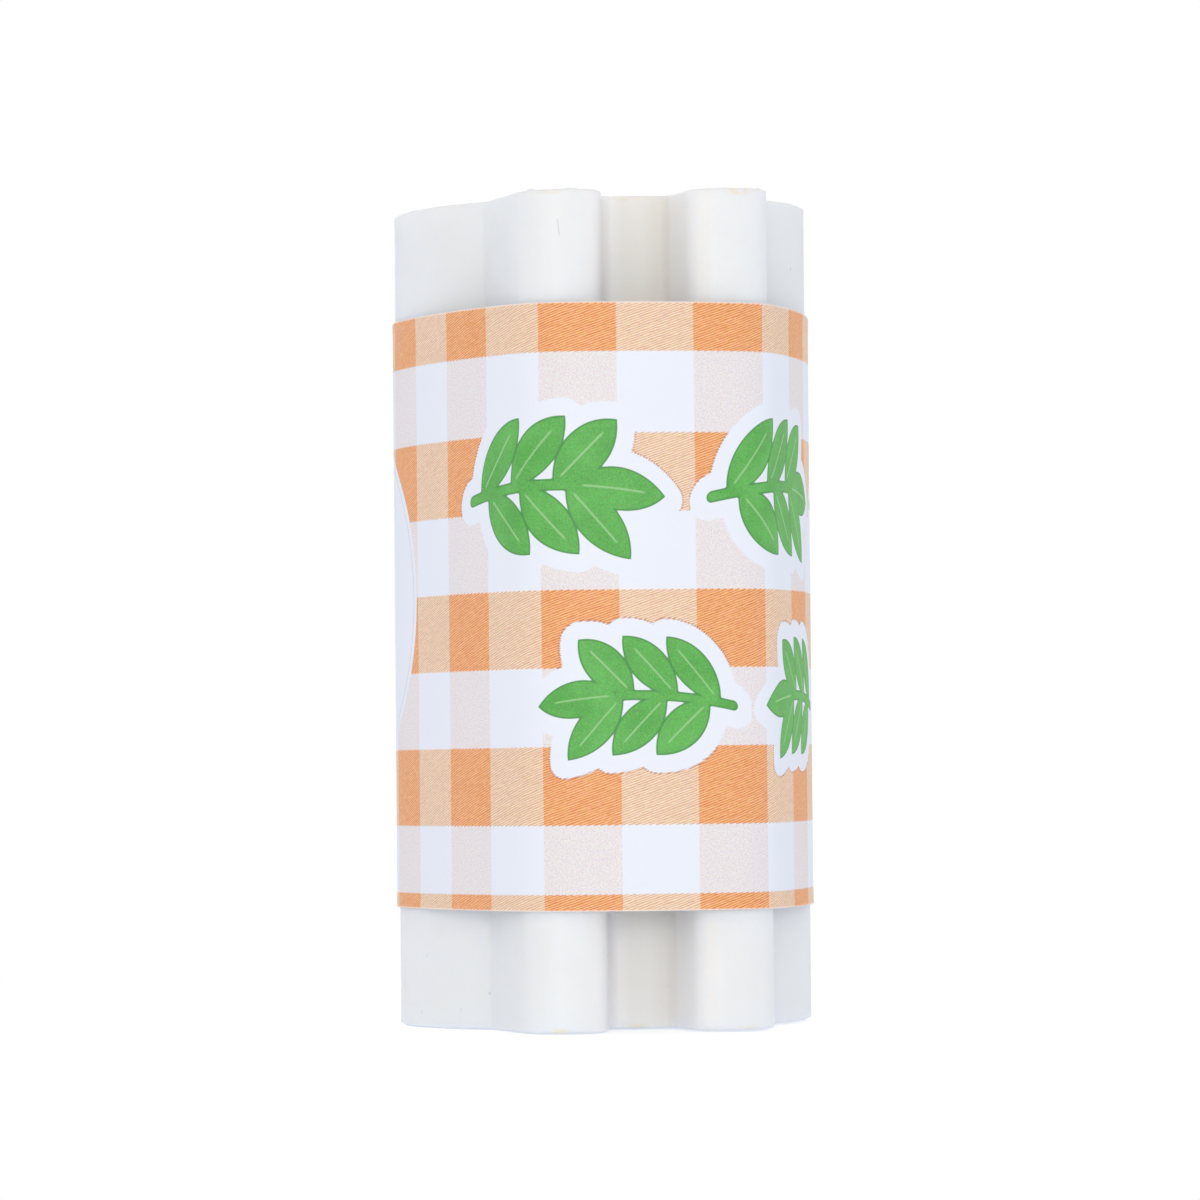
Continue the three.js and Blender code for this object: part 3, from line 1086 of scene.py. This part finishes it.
studio = {
    "plainWhite": (1.0, 1.0, 1.0, 1.0),
    "tableSize": 3.0,  # metres
    "tableGap": 0.02 * mm,  # it lies this far below the bar's base, so that the two faces stay apart
    "tableColour": colour(240, 240, 240),
    "tableGlow": 0.226,  # the table is lit from below too, like a light table
    "tableTint": (0.88, 1.0, 1.3),
    "tableSeen": 0.45,  # the same, as the camera and reflections see it
    "tableFade": (0.03, 0.12),  # from the bar, in metres: over this stretch the table turns plain white
    "ambient": 0.56,
    "frontTint": (1.018, 1.002, 0.986),
    "sideTint": (0.882, 1.007, 1.324),
    "lamps": {  # place in metres, power in watts, size in metres and tint
        "frontSoftbox": ((-0.10, -0.75, 0.08), 1.61, 0.3, "frontTint"),
        "frontLeftSoftbox": ((-0.60, -0.55, 0.15), 0.43, 0.4, "frontTint"),
        "rightSoftbox": ((0.75, -0.10, 0.22), 0.57, 0.5, "sideTint"),
        "backLeftSoftbox": ((-0.60, 0.55, 0.30), 0.61, 0.6, "sideTint"),
        "topSoftbox": ((0.0, 0.05, 0.60), 0.34, 0.3, "frontTint"),
    },
}

shot = {
    "camera": Vector((-76.46, -458.27, 19.12)),
    "heading": math.radians(9.45),  # clockwise from +Y, seen from above
    "pitch": math.radians(1.5),
    "roll": math.radians(0.53),
    "lens": 187.74,
    "sensor": 36.0,
}


def onlyForRays(tree):  # 1 for what the camera, a reflection or glass sees directly
    path = addNode(tree, "ShaderNodeLightPath")
    seen = calc("MAXIMUM", path.outputs["Is Camera Ray"], path.outputs["Is Glossy Ray"])
    return calc("MAXIMUM", seen, path.outputs["Is Transmission Ray"])


def makeTable():
    half = studio["tableSize"] / 2
    mesh = bpy.data.meshes.new("table")
    corners = [(-half, -half), (half, -half), (half, half), (-half, half)]
    mesh.from_pydata([(x, y, -studio["tableGap"]) for x, y in corners], [], [(0, 1, 2, 3)])
    table = intoScene("table", mesh)
    material, tree, _ = newMaterial("white_table")
    tree.nodes.clear()
    seen = onlyForRays(tree)
    matt = addNode(tree, "ShaderNodeBsdfDiffuse", studio["tableColour"])
    gain = studio["tableSeen"] - studio["tableGlow"]
    brightness = plus(studio["tableGlow"], times(seen, gain))
    tint = mixColour(seen, (*studio["tableTint"], 1.0), studio["plainWhite"])
    glow = addNode(tree, "ShaderNodeEmission", tint, brightness)
    lit = addNode(tree, "ShaderNodeAddShader", matt.outputs[0], glow.outputs[0])
    away = lengthOf(addNode(tree, "ShaderNodeTexCoord").outputs["Object"])
    plain = times(seen, fade(away, *studio["tableFade"]))
    white = addNode(tree, "ShaderNodeEmission")
    both = addNode(tree, "ShaderNodeMixShader", plain, lit.outputs[0], white.outputs[0])
    addNode(tree, "ShaderNodeOutputMaterial", both.outputs[0])
    mesh.materials.append(material)


def makeLight():
    world = bpy.data.worlds.new("studio")
    world.use_nodes = True
    tree = world.node_tree
    tree.nodes.clear()
    ambient = [studio["ambient"] * channel for channel in studio["frontTint"]] + [1.0]
    shade = mixColour(onlyForRays(tree), ambient, studio["plainWhite"])
    backdrop = addNode(tree, "ShaderNodeBackground", shade)
    addNode(tree, "ShaderNodeOutputWorld", backdrop.outputs[0])
    bpy.context.scene.world = world
    for name, (place, power, size, tint) in studio["lamps"].items():
        lamp = bpy.data.lights.new(name, "AREA")
        lamp.energy = power
        lamp.size = size
        lamp.color = studio[tint]
        holder = intoScene(name, lamp)
        holder.location = place
        aim = Vector((0, 0, 0.03)) - Vector(place)
        holder.rotation_euler = aim.to_track_quat("-Z", "Y").to_euler()


def makeCamera():
    heading, pitch, roll = shot["heading"], shot["pitch"], shot["roll"]
    level = math.cos(pitch)
    ahead = Vector((math.sin(heading) * level, math.cos(heading) * level, math.sin(pitch)))
    aside = Vector((math.cos(heading), -math.sin(heading), 0))
    upright = aside.cross(ahead)
    right = aside * math.cos(roll) - upright * math.sin(roll)
    up = aside * math.sin(roll) + upright * math.cos(roll)
    data = bpy.data.cameras.new("camera")
    data.lens = shot["lens"]
    data.sensor_width = shot["sensor"]
    data.clip_start = 0.01
    data.clip_end = 20
    camera = intoScene("camera", data)
    turn = Matrix((right, up, -ahead)).transposed().to_4x4()
    camera.matrix_world = Matrix.Translation(shot["camera"] * mm) @ turn
    bpy.context.scene.camera = camera


makeCamera()
makeTable()
makeLight()
print("table, light and camera")
makeBar()
makeSleeve()
bpy.context.scene.view_settings.view_transform = "Standard"
